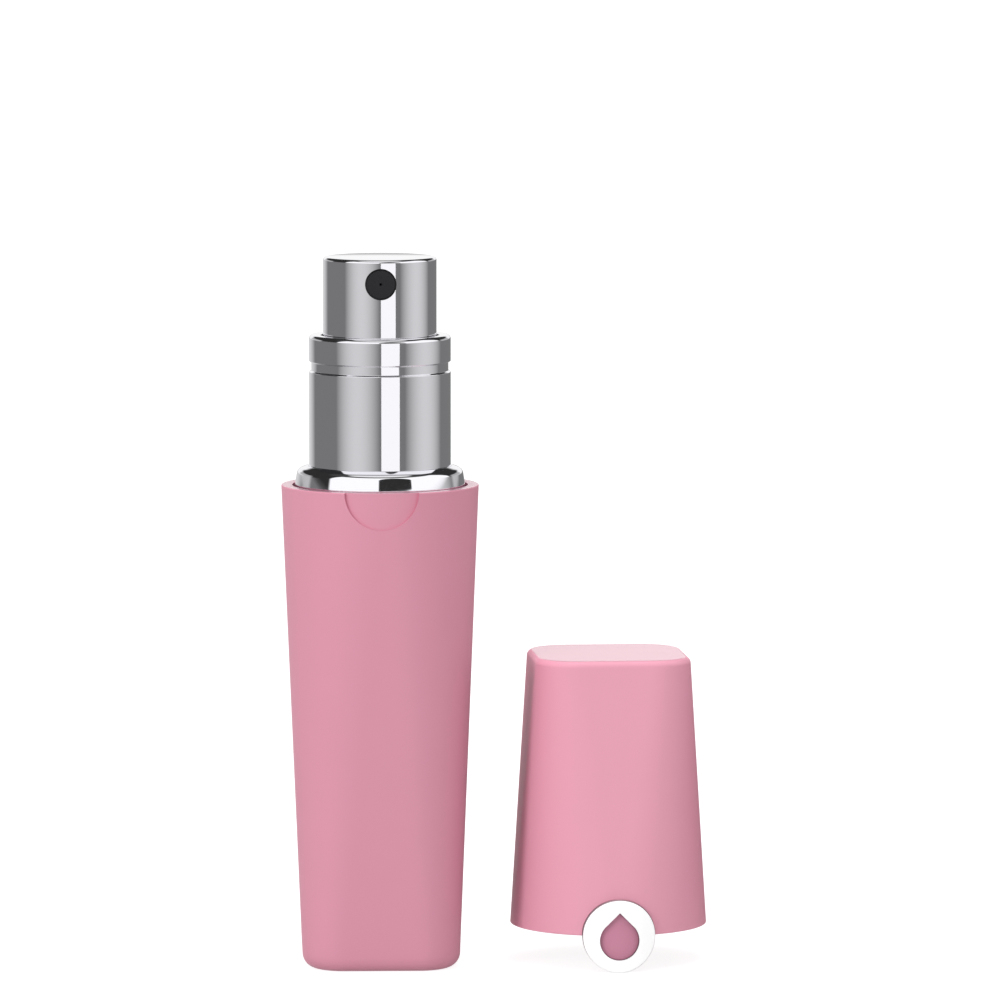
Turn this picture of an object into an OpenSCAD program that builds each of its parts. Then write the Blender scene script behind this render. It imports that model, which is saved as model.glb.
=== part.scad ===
// Refillable travel perfume atomiser, standing open with its cap beside it.
// Millimetres, +Z up. The origin is the centre of the bottle's base; nozzle and badge face -Y.

/* [Bottle shell] */
// Height of the bottle's rim above its base
body_h = 51; // [42:0.5:62]
// Width across the flats of the square base
base_w = 16.7; // [16:0.1:20]
// Plan radius of the base's corners
base_corner_r = 4.4; // [3:0.1:6]
// Rounding of the base's lower edge
base_edge_r = 1.6; // [1:0.1:2]
// Wall of the outer shell
shell_wall = 1.2; // [1:0.05:1.4]
// Thickness of the shell's floor
shell_floor_t = 1.4; // [1.2:0.1:2]
// Depth of the half-moon recess for the badge, at the rim
recess_depth = 0.35; // [0.2:0.05:0.5]

/* [Cap] */
// Height of the cap from its rim to its top
cap_h = 28.9; // [27:0.1:38]
// Least width across the flats of the cap's square top
cap_top_w = 16.6; // [16.5:0.1:20]
// Rounding of the cap's top edge
cap_edge_r = 0.7; // [0.5:0.1:1.8]
// Wall of the cap
cap_wall = 1.2; // [1:0.05:1.4]
// Wall of the liner that grips the collar
liner_wall = 0.6; // [0.5:0.05:0.8]
// Length of the liner tube
liner_h = 10.2; // [8:0.1:12]
// Sideways place of the cap's axis, standing beside the bottle
cap_x = 24.3; // [23.6:0.1:40]
// Front-to-back place of the cap's axis
cap_y = 1.8; // [-6:0.1:6]
// Turn of the cap about its own axis, in degrees
cap_turn = 4; // [-10:1:10]

/* [Badge] */
// Radius of the round badge, which also holds the cap's rim clear of the table
badge_r = 3.85; // [3.5:0.05:5]
// Thickness of the badge
badge_t = 0.8; // [0.6:0.05:1.2]
// Radius of the droplet window in the badge
droplet_r = 2.1; // [1.2:0.05:2.3]

/* [Tank] */
// Height of the tank's underside above the base
tank_z = 5; // [4.5:0.1:7]
// Wall of the tank
tank_wall = 0.7; // [0.6:0.05:1]
// Diameter of the crimp bead on the tank's neck
bead_d = 13.2; // [13:0.1:16]
// Height of the neck above the bottle's rim
neck_rise = 3; // [2.5:0.1:5]
// Depth of the shell's seating ledge below the rim
seat_depth = 4.5; // [4:0.1:6]

/* [Pump] */
// Bore of the pump housing
pump_bore_d = 5.2; // [4.2:0.1:6.3]
// Travel of the spray button
stroke = 3.6; // [3:0.1:4.4]
// Diameter of the pump stem
stem_d = 3.2; // [2.8:0.1:3.4]
// Diameter of the non-return ball
ball_d = 2; // [1.6:0.1:2.4]
// Lift of the non-return ball off its seat
ball_lift = 0.6; // [0.4:0.1:1]
// Slip of the piston along the stem, which opens the inlet
piston_slip = 0.4; // [0.3:0.05:0.6]
// Outer diameter of the dip tube
dip_tube_d = 2.4; // [2:0.1:2.8]

/* [Collar and button] */
// Height of the collar's top above the bottle's rim
collar_h = 15.9; // [14.6:0.1:19]
// Sheet thickness of the collar
collar_wall = 0.4; // [0.35:0.05:0.5]
// Sideways flare of the shoulder ring beyond the collar
shoulder_flare = 1.5; // [1.2:0.1:2]
// Outer diameter of the spray button
button_d = 12; // [10:0.1:12.2]
// Height of the button's top above the collar
button_rise = 8.25; // [7.6:0.1:10]
// Sheet thickness of the button's metal shell
button_wall = 0.35; // [0.3:0.05:0.4]
// Diameter of the nozzle insert
nozzle_d = 3.2; // [2.6:0.1:3.6]
// Depth of the nozzle's centre below the button's top
nozzle_drop = 2.55; // [2.4:0.05:3.5]

/* [Fill valve] */
// Diameter of the fill port in the base
port_d = 3.5; // [3:0.1:4]
// Length of the straight fill port
port_length = 3.4; // [3:0.1:3.8]
// Opening travel of the valve's poppet
poppet_lift = 1.2; // [0.8:0.1:1.4]

/* [Hidden] */
$fn = 96;
eps = 0.01;

// Clearances
slide_gap = 0.05;      // between a piece and the bore it runs in
loose_gap = 0.1;       // between pieces that are dropped together
free_gap = 0.3;        // between pieces that never touch

// Sheet metal and seal thicknesses
ferrule_wall = 0.35;
ferrule_top_t = 0.5;
gasket_t = 0.8;
pump_flange_t = 1.2;
gland_flange_t = 1.2;
turret_h = 1.6;
bead_h = 2.5;
ledge_t = 1;
tank_flange_t = 0.8;
tank_floor_t = 0.9;

// Radii, built outwards from the tank's neck bead to the rim
bead_r = bead_d / 2;
neck_r = bead_r - 0.8;
ferrule_ir = bead_r + loose_gap;
ferrule_or = ferrule_ir + ferrule_wall;
collar_ir = ferrule_or + slide_gap;
collar_r = collar_ir + collar_wall;
shoulder_ir = collar_r + 0.02;
shoulder_r = collar_r + shoulder_flare;
rim_gap = 0.25;
rim_ir = shoulder_r + rim_gap;
rim_r = rim_ir + shell_wall;

// Half width across the flats of a tapering shell, z above its square end
function taper_w(z, h, end_w, edge_r) = end_w / 2 + (rim_r - end_w / 2) * (z - edge_r) / (h - edge_r);
// Plan corner radius at the same height
function taper_r(z, h, corner_r, edge_r) = corner_r + (rim_r - corner_r) * (z - edge_r) / (h - edge_r);
function body_w(z) = taper_w(z, body_h, base_w, base_edge_r);

// Heights of the tank and neck
ledge_z = body_h - seat_depth;
flange_top_z = ledge_z + tank_flange_t;
neck_top_z = body_h + neck_rise;
bead_z = neck_top_z - bead_h;
tank_r = body_w(tank_z) - shell_wall - loose_gap;
tank_ir = tank_r - tank_wall;
tank_flange_r = body_w(ledge_z) - shell_wall - loose_gap;
skirt_r = min(shoulder_r, body_w(flange_top_z) - shell_wall - slide_gap);

// Heights of the pump's head
gasket_top_z = neck_top_z + gasket_t;
pump_top_z = gasket_top_z + pump_flange_t;
gland_top_z = pump_top_z + gland_flange_t;
ferrule_top_z = gland_top_z + ferrule_top_t;
turret_top_z = gland_top_z + turret_h;
head_flange_r = ferrule_ir - free_gap;

// Pump barrel, from the gland downwards
bore_r = pump_bore_d / 2;
barrel_r = bore_r + 0.9;
neck_ir = barrel_r + 0.4;
stem_r = stem_d / 2;
stem_hole_r = stem_r + slide_gap;
turret_r = stem_hole_r + 1;
seal_t = 0.9;
gland_sleeve_h = 1.5;
piston_h = 2;
piston_drop = 1.5;
piston_top_z = pump_top_z - gland_sleeve_h - piston_drop;
piston_z = piston_top_z - piston_h;
tail_r = stem_r - 0.5;
foot_r = bore_r - 0.6;
foot_h = 0.8;
foot_z = piston_z - 0.02 - foot_h;
spring_wire = 0.45;
spring_turns = 6;
spring_spare = 2;
spring_z = foot_z - slide_gap - stroke - spring_turns * spring_wire - spring_spare;
retainer_lip_t = 0.4;
ball_r = ball_d / 2;
seat_r = 0.65 * ball_r;
ball_rise = sqrt(ball_r * ball_r - seat_r * seat_r) + 0.02;
seat_z = spring_z - retainer_lip_t - slide_gap - ball_lift - ball_r - ball_rise;
tube_r = dip_tube_d / 2;
tube_wall = 0.5;
socket_h = 4.6;
socket_top_z = seat_z - 0.6;

// Fill valve, from the base upwards
port_r = port_d / 2;
seal_top_z = port_length + 0.8;
poppet_r = port_r + 0.15;
chamber_r = poppet_r + 0.4;
valve_r = chamber_r + 0.9;
valve_flange_r = valve_r + 1.1;
poppet_head_t = 1;
poppet_z = seal_top_z + 0.02;
valve_wire = 0.3;
valve_turns = 5;
guide_r = 0.8;
valve_spring_z = poppet_z + poppet_head_t + slide_gap;
retainer_z = valve_spring_z + valve_turns * valve_wire + poppet_lift + 0.8;
retainer_t = 0.8;
valve_top_z = retainer_z + retainer_t;
guide_top_z = valve_top_z - slide_gap;
tube_z = guide_top_z + poppet_lift + 0.6;

// Collar, button and stem
collar_top_z = body_h + collar_h;
collar_z = bead_z - 1.5;
button_r = button_d / 2;
button_top_z = collar_top_z + button_rise;
button_z = ferrule_top_z + stroke + 1.3;
boss_z = turret_top_z + stroke + 0.4;
boss_r = stem_r + 0.9;
core_r = button_r - button_wall - 0.02;
core_top_z = button_top_z - button_wall;
nozzle_z = button_top_z - nozzle_drop;
nozzle_r = nozzle_d / 2;
stem_top_z = boss_z + 3.2;
barrel_boss_r = min(nozzle_r + 0.7, nozzle_drop - button_wall - 0.05);

// Cap
cap_z = badge_r;
cap_top_corner_r = base_corner_r;
liner_z = 2.3;
liner_ir = collar_r + loose_gap;
liner_or = liner_ir + liner_wall;
liner_share = (cap_h - liner_z - liner_h - cap_edge_r) / (cap_h - cap_edge_r);
cap_room_w = 2 * (liner_or + cap_wall + slide_gap - rim_r * liner_share) / (1 - liner_share);
cap_end_w = max(cap_top_w, cap_room_w);
function cap_w(z) = taper_w(cap_h - z, cap_h, cap_end_w, cap_edge_r);
badge_ir = rim_r - recess_depth + slide_gap;
badge_or = badge_ir + badge_t;
droplet_tilt_drop = droplet_r * (sqrt(2) - 1) / 2;

// ---------------------------------------------------------------- shapes

// Plan outline piece: a slab of a rounded square
module rounded_slab(half_w, corner_r, thickness) {
    for (sx = [-1, 1], sy = [-1, 1])
        translate([sx * (half_w - corner_r), sy * (half_w - corner_r), 0])
            cylinder(r = corner_r, h = thickness, $fn = 64);
}

// The rounded square end of a shell, with its outer edge rounded over
module rounded_end(half_w, corner_r, edge_r) {
    edge_steps = 6;
    for (sx = [-1, 1], sy = [-1, 1])
        translate([sx * (half_w - corner_r), sy * (half_w - corner_r), 0])
            rotate_extrude($fn = 64)
                polygon(concat(
                    [[0, edge_r], [0, 0]],
                    [for (i = [0:edge_steps]) let (a = 90 * i / edge_steps)
                        [corner_r - edge_r * (1 - sin(a)), edge_r * (1 - cos(a))]]));
}

// Solid that runs from a rounded square at z = 0 to the round rim at z = h
module tapered_solid(h, end_w, corner_r, edge_r) {
    hull() {
        rounded_end(end_w / 2, corner_r, edge_r);
        translate([0, 0, h - eps]) cylinder(r = rim_r, h = eps);
    }
}

// The same form set inwards by a wall, from z0 to just past the rim
module tapered_core(h, end_w, corner_r, edge_r, inset, z0, past = 1) {
    hull() {
        translate([0, 0, z0])
            rounded_slab(taper_w(z0, h, end_w, edge_r) - inset,
                         taper_r(z0, h, corner_r, edge_r) - inset, eps);
        translate([0, 0, h]) cylinder(r = rim_r - inset, h = past);
    }
}

module ring(r_out, r_in, z0, z1) {
    translate([0, 0, z0]) difference() {
        cylinder(r = r_out, h = z1 - z0);
        translate([0, 0, -1]) cylinder(r = r_in, h = z1 - z0 + 2);
    }
}

// Solid of revolution about Z from points [radius, height]
module turned(points) {
    rotate_extrude() polygon(points);
}

// Everything in front of a cylinder of radius floor_r, inside a round outline at the rim
module badge_space(outline_r, floor_r, depth) {
    difference() {
        rotate([90, 0, 0]) cylinder(r = outline_r, h = floor_r + depth);
        translate([0, 0, -outline_r - 1]) cylinder(r = floor_r, h = 2 * outline_r + 2);
    }
}

// Helical wire between two flat seats
module coil_spring(mean_r, wire_d, turns, z0, z1) {
    sides = 8;
    per_turn = 16;
    steps = turns * per_turn;
    rise = (z1 - z0 - wire_d) / steps;
    points = [for (i = [0:steps]) let (a = 360 * i / per_turn, z = z0 + wire_d / 2 + rise * i)
        for (j = [0:sides - 1]) let (b = 360 * j / sides, r = mean_r + wire_d / 2 * cos(b))
            [r * cos(a), r * sin(a), z + wire_d / 2 * sin(b)]];
    walls = [for (i = [0:steps - 1]) for (j = [0:sides - 1]) let (k = (j + 1) % sides)
        [i * sides + j, (i + 1) * sides + j, (i + 1) * sides + k, i * sides + k]];
    start_cap = [[for (j = [0:sides - 1]) j]];
    end_cap = [[for (j = [sides - 1:-1:0]) steps * sides + j]];
    polyhedron(points, concat(walls, start_cap, end_cap));
}

// ---------------------------------------------------------------- bottle

module outer_shell() {
    color([0.87, 0.60, 0.68]) {
        difference() {
            tapered_solid(body_h, base_w, base_corner_r, base_edge_r);
            tapered_core(body_h, base_w, base_corner_r, base_edge_r, shell_wall, shell_floor_t);
            translate([0, 0, -1]) cylinder(r = valve_flange_r + loose_gap, h = shell_floor_t + 2);
            translate([0, 0, body_h])
                badge_space(badge_r + slide_gap, rim_r - recess_depth, 2);
        }
        // seating ledge for the tank
        difference() {
            intersection() {
                tapered_core(body_h, base_w, base_corner_r, base_edge_r, shell_wall / 2, shell_floor_t);
                translate([0, 0, ledge_z - ledge_t]) cylinder(r = 2 * rim_r, h = ledge_t);
            }
            translate([0, 0, ledge_z - ledge_t - 1]) cylinder(r = tank_r + free_gap, h = ledge_t + 2);
        }
    }
}

module tank() {
    shoulder_z = ledge_z - 1;
    color([0.92, 0.94, 0.96, 0.5])
        turned([
            [valve_r, tank_z], [tank_r - 0.5, tank_z], [tank_r, tank_z + 0.5], [tank_r, ledge_z],
            [tank_flange_r, ledge_z], [tank_flange_r, flange_top_z], [neck_r, flange_top_z],
            [neck_r, bead_z], [bead_r, bead_z], [bead_r, neck_top_z], [neck_ir, neck_top_z],
            [neck_ir, ledge_z + 0.3], [tank_ir, shoulder_z], [tank_ir, tank_z + tank_floor_t],
            [valve_r, tank_z + tank_floor_t]]);
}

module neck_gasket() {
    color([0.93, 0.93, 0.90]) ring(head_flange_r, barrel_r + slide_gap, neck_top_z, gasket_top_z);
}

// ---------------------------------------------------------------- fill valve

module valve_housing() {
    color([0.20, 0.20, 0.22])
        turned([
            [port_r, 0], [valve_flange_r, 0], [valve_flange_r, shell_floor_t],
            [valve_flange_r + 0.6, shell_floor_t], [valve_flange_r + 0.6, tank_z], [valve_r, tank_z],
            [valve_r, valve_top_z], [chamber_r, valve_top_z], [chamber_r, port_length],
            [port_r, port_length]]);
}

module valve_seal() {
    color([0.12, 0.12, 0.12]) ring(chamber_r, port_r - 0.45, port_length, seal_top_z);
}

module valve_poppet() {
    nib_r = port_r - 0.85;
    color([0.85, 0.85, 0.86])
        turned([
            [0, port_length + 0.1], [nib_r, port_length + 0.1], [nib_r, poppet_z], [poppet_r, poppet_z],
            [poppet_r, poppet_z + poppet_head_t], [guide_r, poppet_z + poppet_head_t],
            [guide_r, guide_top_z], [0, guide_top_z]]);
}

module valve_spring() {
    color([0.7, 0.7, 0.72])
        coil_spring(guide_r + 0.45, valve_wire, valve_turns, valve_spring_z, retainer_z - slide_gap);
}

module valve_retainer() {
    hole_count = 4;
    hole_r = 0.3;
    color([0.85, 0.85, 0.86]) difference() {
        ring(chamber_r, guide_r + slide_gap, retainer_z, valve_top_z);
        for (i = [0:hole_count - 1])
            rotate([0, 0, 45 + 360 / hole_count * i])
                translate([(chamber_r + guide_r) / 2, 0, retainer_z - 1]) cylinder(r = hole_r, h = retainer_t + 2);
    }
}

// ---------------------------------------------------------------- pump

module pump_housing() {
    outer_tail_r = tube_r + 0.7;
    body_z = seat_z - 0.8;
    color([0.95, 0.95, 0.93])
        turned([
            [tube_r, socket_top_z - socket_h], [outer_tail_r, socket_top_z - socket_h], [outer_tail_r, body_z],
            [barrel_r, body_z + 0.6], [barrel_r, gasket_top_z], [head_flange_r, gasket_top_z],
            [head_flange_r, pump_top_z], [bore_r, pump_top_z], [bore_r, spring_z],
            [0.8 * ball_r, spring_z], [0.8 * ball_r, spring_z - retainer_lip_t],
            [ball_r + free_gap, spring_z - retainer_lip_t], [ball_r + free_gap, seat_z], [seat_r, seat_z],
            [seat_r, socket_top_z], [tube_r, socket_top_z]]);
}

module dip_tube() {
    color([0.96, 0.96, 0.94]) ring(tube_r, tube_r - tube_wall, tube_z, socket_top_z);
}

module check_ball() {
    color([0.8, 0.8, 0.82]) translate([0, 0, seat_z + ball_rise]) sphere(r = ball_r);
}

module return_spring() {
    color([0.7, 0.7, 0.72])
        coil_spring(foot_r - spring_wire / 2, spring_wire, spring_turns, spring_z, foot_z - slide_gap);
}

module pump_piston() {
    lip_h = 0.5;
    groove = 0.35;
    color([0.90, 0.92, 0.95])
        turned([
            [tail_r + slide_gap, piston_z], [bore_r - slide_gap, piston_z], [bore_r - slide_gap, piston_z + lip_h],
            [bore_r - groove, piston_z + lip_h], [bore_r - groove, piston_top_z - lip_h],
            [bore_r - slide_gap, piston_top_z - lip_h], [bore_r - slide_gap, piston_top_z],
            [tail_r + slide_gap, piston_top_z]]);
}

module pump_stem() {
    channel_r = 0.6;
    inlet_r = 0.25;
    color([0.97, 0.97, 0.95]) difference() {
        turned([
            [0, foot_z], [foot_r, foot_z], [foot_r, foot_z + 0.3], [tail_r, foot_z + foot_h],
            [tail_r, piston_top_z + piston_slip], [stem_r, piston_top_z + piston_slip],
            [stem_r, stem_top_z], [0, stem_top_z]]);
        translate([0, 0, piston_z]) cylinder(r = channel_r, h = stem_top_z - piston_z + 1);
        translate([-stem_r, 0, piston_z + inlet_r]) rotate([0, 90, 0]) cylinder(r = inlet_r, h = 2 * stem_r, $fn = 24);
    }
}

module pump_gland() {
    seal_r = turret_r - 0.3;
    color([0.95, 0.95, 0.93])
        turned([
            [stem_hole_r, pump_top_z - gland_sleeve_h], [bore_r - 0.03, pump_top_z - gland_sleeve_h],
            [bore_r - 0.03, pump_top_z], [head_flange_r, pump_top_z], [head_flange_r, gland_top_z],
            [turret_r, gland_top_z], [turret_r, turret_top_z], [seal_r, turret_top_z],
            [seal_r, turret_top_z - seal_t], [stem_hole_r, turret_top_z - seal_t]]);
}

module stem_seal() {
    color([0.12, 0.12, 0.12])
        ring(turret_r - 0.3, stem_r + 0.02, turret_top_z - seal_t, turret_top_z);
}

module crimp_ferrule() {
    lip_ir = neck_r + free_gap;
    color([0.78, 0.78, 0.80])
        turned([
            [lip_ir, bead_z - 0.55], [ferrule_or - 0.2, bead_z - 0.55], [ferrule_or, bead_z - 0.3],
            [ferrule_or, ferrule_top_z - 0.3], [ferrule_or - 0.3, ferrule_top_z],
            [turret_r + loose_gap, ferrule_top_z], [turret_r + loose_gap, gland_top_z],
            [ferrule_ir, gland_top_z], [ferrule_ir, bead_z - slide_gap], [lip_ir, bead_z - slide_gap]]);
}

// ---------------------------------------------------------------- collar and button

module collar_sleeve() {
    groove_depth = 0.25;
    groove_top_z = collar_top_z - 2.9;
    groove_z = groove_top_z - 0.9;
    lip_r = button_r + 0.25;
    edge_r = 0.6;
    edge_steps = 6;
    slope = 0.12;
    outer_edge = [for (i = [0:edge_steps]) let (a = 90 * i / edge_steps)
        [collar_r - edge_r * (1 - cos(a)), collar_top_z - edge_r * (1 - sin(a))]];
    color([0.80, 0.80, 0.83])
        turned(concat(
            [[collar_ir, collar_z], [collar_r, collar_z],
             [collar_r, groove_z - slope], [collar_r - groove_depth, groove_z],
             [collar_r - groove_depth, groove_top_z], [collar_r, groove_top_z + slope]],
            outer_edge,
            [[lip_r, collar_top_z], [lip_r, collar_top_z - collar_wall],
             [collar_ir - 0.2, collar_top_z - collar_wall], [collar_ir, collar_top_z - collar_wall - 0.2],
             [collar_ir, groove_top_z + slope], [collar_ir - groove_depth, groove_top_z],
             [collar_ir - groove_depth, groove_z], [collar_ir, groove_z - slope]]));
}

module shoulder_ring() {
    wall = 0.5;
    crown_z = body_h + 2.05;
    drop = crown_z - body_h;
    crown_r = shoulder_r - 0.45;
    color([0.82, 0.82, 0.85])
        turned([
            [shoulder_ir, crown_z], [crown_r - 0.45, crown_z - 0.1], [crown_r - 0.15, crown_z - 0.3],
            [crown_r, crown_z - 0.6], [crown_r + 0.15, body_h + 0.8], [shoulder_r - 0.08, body_h + 0.45],
            [shoulder_r, body_h + 0.15], [shoulder_r, body_h - 0.2], [skirt_r, body_h - 0.5],
            [skirt_r, flange_top_z], [skirt_r - wall, flange_top_z], [skirt_r - wall, body_h - 0.1],
            [crown_r - wall, body_h + 1.1], [crown_r - wall - 0.5, crown_z - 0.7],
            [shoulder_ir, crown_z - 0.7]]);
}

module actuator_shell() {
    edge_r = 0.5;
    edge_steps = 5;
    color([0.80, 0.80, 0.83]) difference() {
        turned(concat(
            [[button_r - button_wall, button_z], [button_r, button_z]],
            [for (i = [0:edge_steps]) let (a = 90 * i / edge_steps)
                [button_r - edge_r * (1 - cos(a)), button_top_z - edge_r * (1 - sin(a))]],
            [[0, button_top_z], [0, core_top_z], [button_r - button_wall, core_top_z]]));
        translate([0, 0, nozzle_z]) rotate([90, 0, 0]) cylinder(r = nozzle_r + slide_gap, h = 2 * button_r);
    }
}

module actuator_core() {
    top_t = 1;
    skirt_t = 0.8;
    skirt_h = 6;
    rib_count = 4;
    rib_t = 0.8;
    channel_r = 0.6;
    insert_depth = 2.1;
    color([0.16, 0.16, 0.18]) difference() {
        union() {
            ring(core_r, core_r - skirt_t, core_top_z - skirt_h, core_top_z);
            translate([0, 0, core_top_z - top_t]) cylinder(r = core_r, h = top_t);
            translate([0, 0, boss_z]) cylinder(r = boss_r, h = core_top_z - boss_z);
            // horizontal barrel that carries the nozzle insert
            intersection() {
                translate([0, 0, nozzle_z]) rotate([90, 0, 0]) cylinder(r = barrel_boss_r, h = core_r);
                translate([0, 0, nozzle_z - 5]) cylinder(r = core_r, h = 10);
            }
            intersection() {
                for (i = [0:rib_count - 1])
                    rotate([0, 0, 45 + 90 * i]) translate([0, -rib_t / 2, core_top_z - skirt_h])
                        cube([core_r - slide_gap, rib_t, skirt_h - slide_gap]);
                translate([0, 0, boss_z]) cylinder(r = core_r - slide_gap, h = core_top_z - boss_z);
            }
        }
        // stem socket, riser and spray channel
        translate([0, 0, boss_z - 1]) cylinder(r = stem_r + 0.02, h = stem_top_z + slide_gap - boss_z + 1);
        translate([0, 0, boss_z]) cylinder(r = channel_r, h = nozzle_z - boss_z);
        translate([0, 0, nozzle_z]) rotate([90, 0, 0]) cylinder(r = channel_r, h = core_r);
        translate([0, -core_r + insert_depth, nozzle_z]) rotate([90, 0, 0])
            cylinder(r = nozzle_r + 0.02, h = core_r);
    }
}

module nozzle_insert() {
    orifice_r = 0.15;
    length = 1.9;
    face_y = button_r + 0.02;
    color([0.08, 0.08, 0.09]) translate([0, -face_y + length, nozzle_z]) rotate([90, 0, 0])
        difference() {
            cylinder(r = nozzle_r, h = length);
            translate([0, 0, -1]) cylinder(r = orifice_r, h = length + 2, $fn = 24);
            translate([0, 0, length - 0.25]) cylinder(r1 = orifice_r, r2 = 0.6, h = 0.3, $fn = 48);
        }
}

// ---------------------------------------------------------------- cap

module at_cap() {
    translate([cap_x, cap_y, cap_z]) rotate([0, 0, cap_turn]) children();
}

module cap_shell() {
    color([0.91, 0.65, 0.73]) at_cap() difference() {
        translate([0, 0, cap_h]) mirror([0, 0, 1]) difference() {
            tapered_solid(cap_h, cap_end_w, cap_top_corner_r, cap_edge_r);
            tapered_core(cap_h, cap_end_w, cap_top_corner_r, cap_edge_r, cap_wall, cap_wall);
        }
        badge_space(badge_r + slide_gap, badge_ir, 2);
    }
}

module cap_liner() {
    flange_t = 0.8;
    color([0.94, 0.94, 0.94]) at_cap() difference() {
        union() {
            translate([0, 0, liner_z]) cylinder(r = liner_or, h = liner_h);
            translate([0, 0, liner_z]) cylinder(r = cap_w(liner_z + flange_t) - cap_wall - slide_gap, h = flange_t);
        }
        translate([0, 0, liner_z - 1]) cylinder(r = liner_ir, h = liner_h + 2);
    }
}

// The droplet's outline: a circle with a square corner as its tip
module droplet(r) {
    translate([0, -droplet_tilt_drop]) {
        circle(r = r);
        rotate(45) square(r);
    }
}

module badge_disc() {
    color([0.97, 0.97, 0.97]) at_cap() difference() {
        intersection() {
            rotate([90, 0, 0]) cylinder(r = badge_r, h = 2 * rim_r);
            ring(badge_or, badge_ir, -badge_r - 1, badge_r + 1);
        }
        rotate([90, 0, 0]) linear_extrude(2 * rim_r) droplet(droplet_r);
    }
}

module badge_inlay() {
    inlay_t = 0.4;
    color([0.80, 0.53, 0.62]) at_cap() intersection() {
        rotate([90, 0, 0]) linear_extrude(2 * rim_r) droplet(droplet_r);
        ring(badge_ir + inlay_t, badge_ir, -badge_r - 1, badge_r + 1);
    }
}

outer_shell();
tank();
valve_housing();
valve_seal();
valve_poppet();
valve_spring();
valve_retainer();
neck_gasket();
pump_housing();
dip_tube();
check_ball();
return_spring();
pump_piston();
pump_stem();
pump_gland();
stem_seal();
crimp_ferrule();
collar_sleeve();
shoulder_ring();
actuator_core();
actuator_shell();
nozzle_insert();
cap_shell();
cap_liner();
badge_disc();
badge_inlay();
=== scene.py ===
"""Builds the finished shells, chrome head, badge and surface finishes of a travel perfume atomiser."""
import math

import bmesh
import bpy
from bpy.props import FloatProperty, FloatVectorProperty, PointerProperty
from bpy.types import Operator, Panel, PropertyGroup
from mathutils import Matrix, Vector


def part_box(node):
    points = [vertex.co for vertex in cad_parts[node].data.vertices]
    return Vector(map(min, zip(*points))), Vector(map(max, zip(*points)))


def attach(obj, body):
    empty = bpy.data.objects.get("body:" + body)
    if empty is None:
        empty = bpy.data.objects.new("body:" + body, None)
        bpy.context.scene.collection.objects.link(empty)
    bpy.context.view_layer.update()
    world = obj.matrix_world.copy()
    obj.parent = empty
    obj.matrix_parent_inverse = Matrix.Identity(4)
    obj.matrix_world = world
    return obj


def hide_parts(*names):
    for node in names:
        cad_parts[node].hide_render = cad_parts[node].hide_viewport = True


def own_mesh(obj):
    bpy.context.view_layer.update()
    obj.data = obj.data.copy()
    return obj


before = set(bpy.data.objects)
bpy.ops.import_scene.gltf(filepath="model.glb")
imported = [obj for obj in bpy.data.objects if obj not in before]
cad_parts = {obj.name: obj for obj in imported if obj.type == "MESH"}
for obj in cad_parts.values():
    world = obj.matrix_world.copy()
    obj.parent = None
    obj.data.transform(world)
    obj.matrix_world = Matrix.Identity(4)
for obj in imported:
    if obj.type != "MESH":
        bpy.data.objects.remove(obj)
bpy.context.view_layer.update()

bl_info = {
    "name": "Travel Perfume Atomiser",
    "version": (1, 0, 0),
    "blender": (4, 5, 0),
    "location": "View3D > Sidebar > Atomiser",
    "description": "Shells, chrome head, badge and finishes for a refillable perfume atomiser",
    "category": "Object",
}

MM = 0.001


# ---------------------------------------------------------------- places taken from the frame

def middle(node):
    """Centre of a CAD node's box."""
    low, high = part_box(node)
    return (low + high) / 2


BODY_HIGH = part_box("outer_shell")[1]
RIM_RADIUS = BODY_HIGH.x
BODY_HEIGHT = BODY_HIGH.z
LINER_LOW, LINER_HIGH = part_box("cap_liner")
CAP_LOW, CAP_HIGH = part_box("cap_shell")
CAP_AXIS = Vector((middle("cap_liner").x, middle("cap_liner").y, CAP_LOW.z))
CAP_HEIGHT = CAP_HIGH.z - CAP_LOW.z
BADGE_LOW, BADGE_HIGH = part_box("badge_disc")
BADGE_RADIUS = (BADGE_HIGH.z - BADGE_LOW.z) / 2
COLLAR_LOW, COLLAR_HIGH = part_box("collar_sleeve")
RING_LOW, RING_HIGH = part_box("shoulder_ring")
BUTTON_LOW, BUTTON_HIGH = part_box("actuator_shell")
NOZZLE_LOW, NOZZLE_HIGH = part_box("nozzle_insert")
TANK_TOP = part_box("tank")[1].z


# ---------------------------------------------------------------- settings

def length_setting(name, description, default_mm, low_mm, high_mm):
    """A length in millimetres, held in metres."""
    return FloatProperty(name=name, description=description, default=default_mm * MM, min=low_mm * MM,
                         max=high_mm * MM, subtype="DISTANCE", unit="LENGTH", precision=5)


def colour_setting(name, description, default):
    return FloatVectorProperty(name=name, description=description, default=default, size=3, min=0.0, max=1.0,
                               subtype="COLOR")


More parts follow.
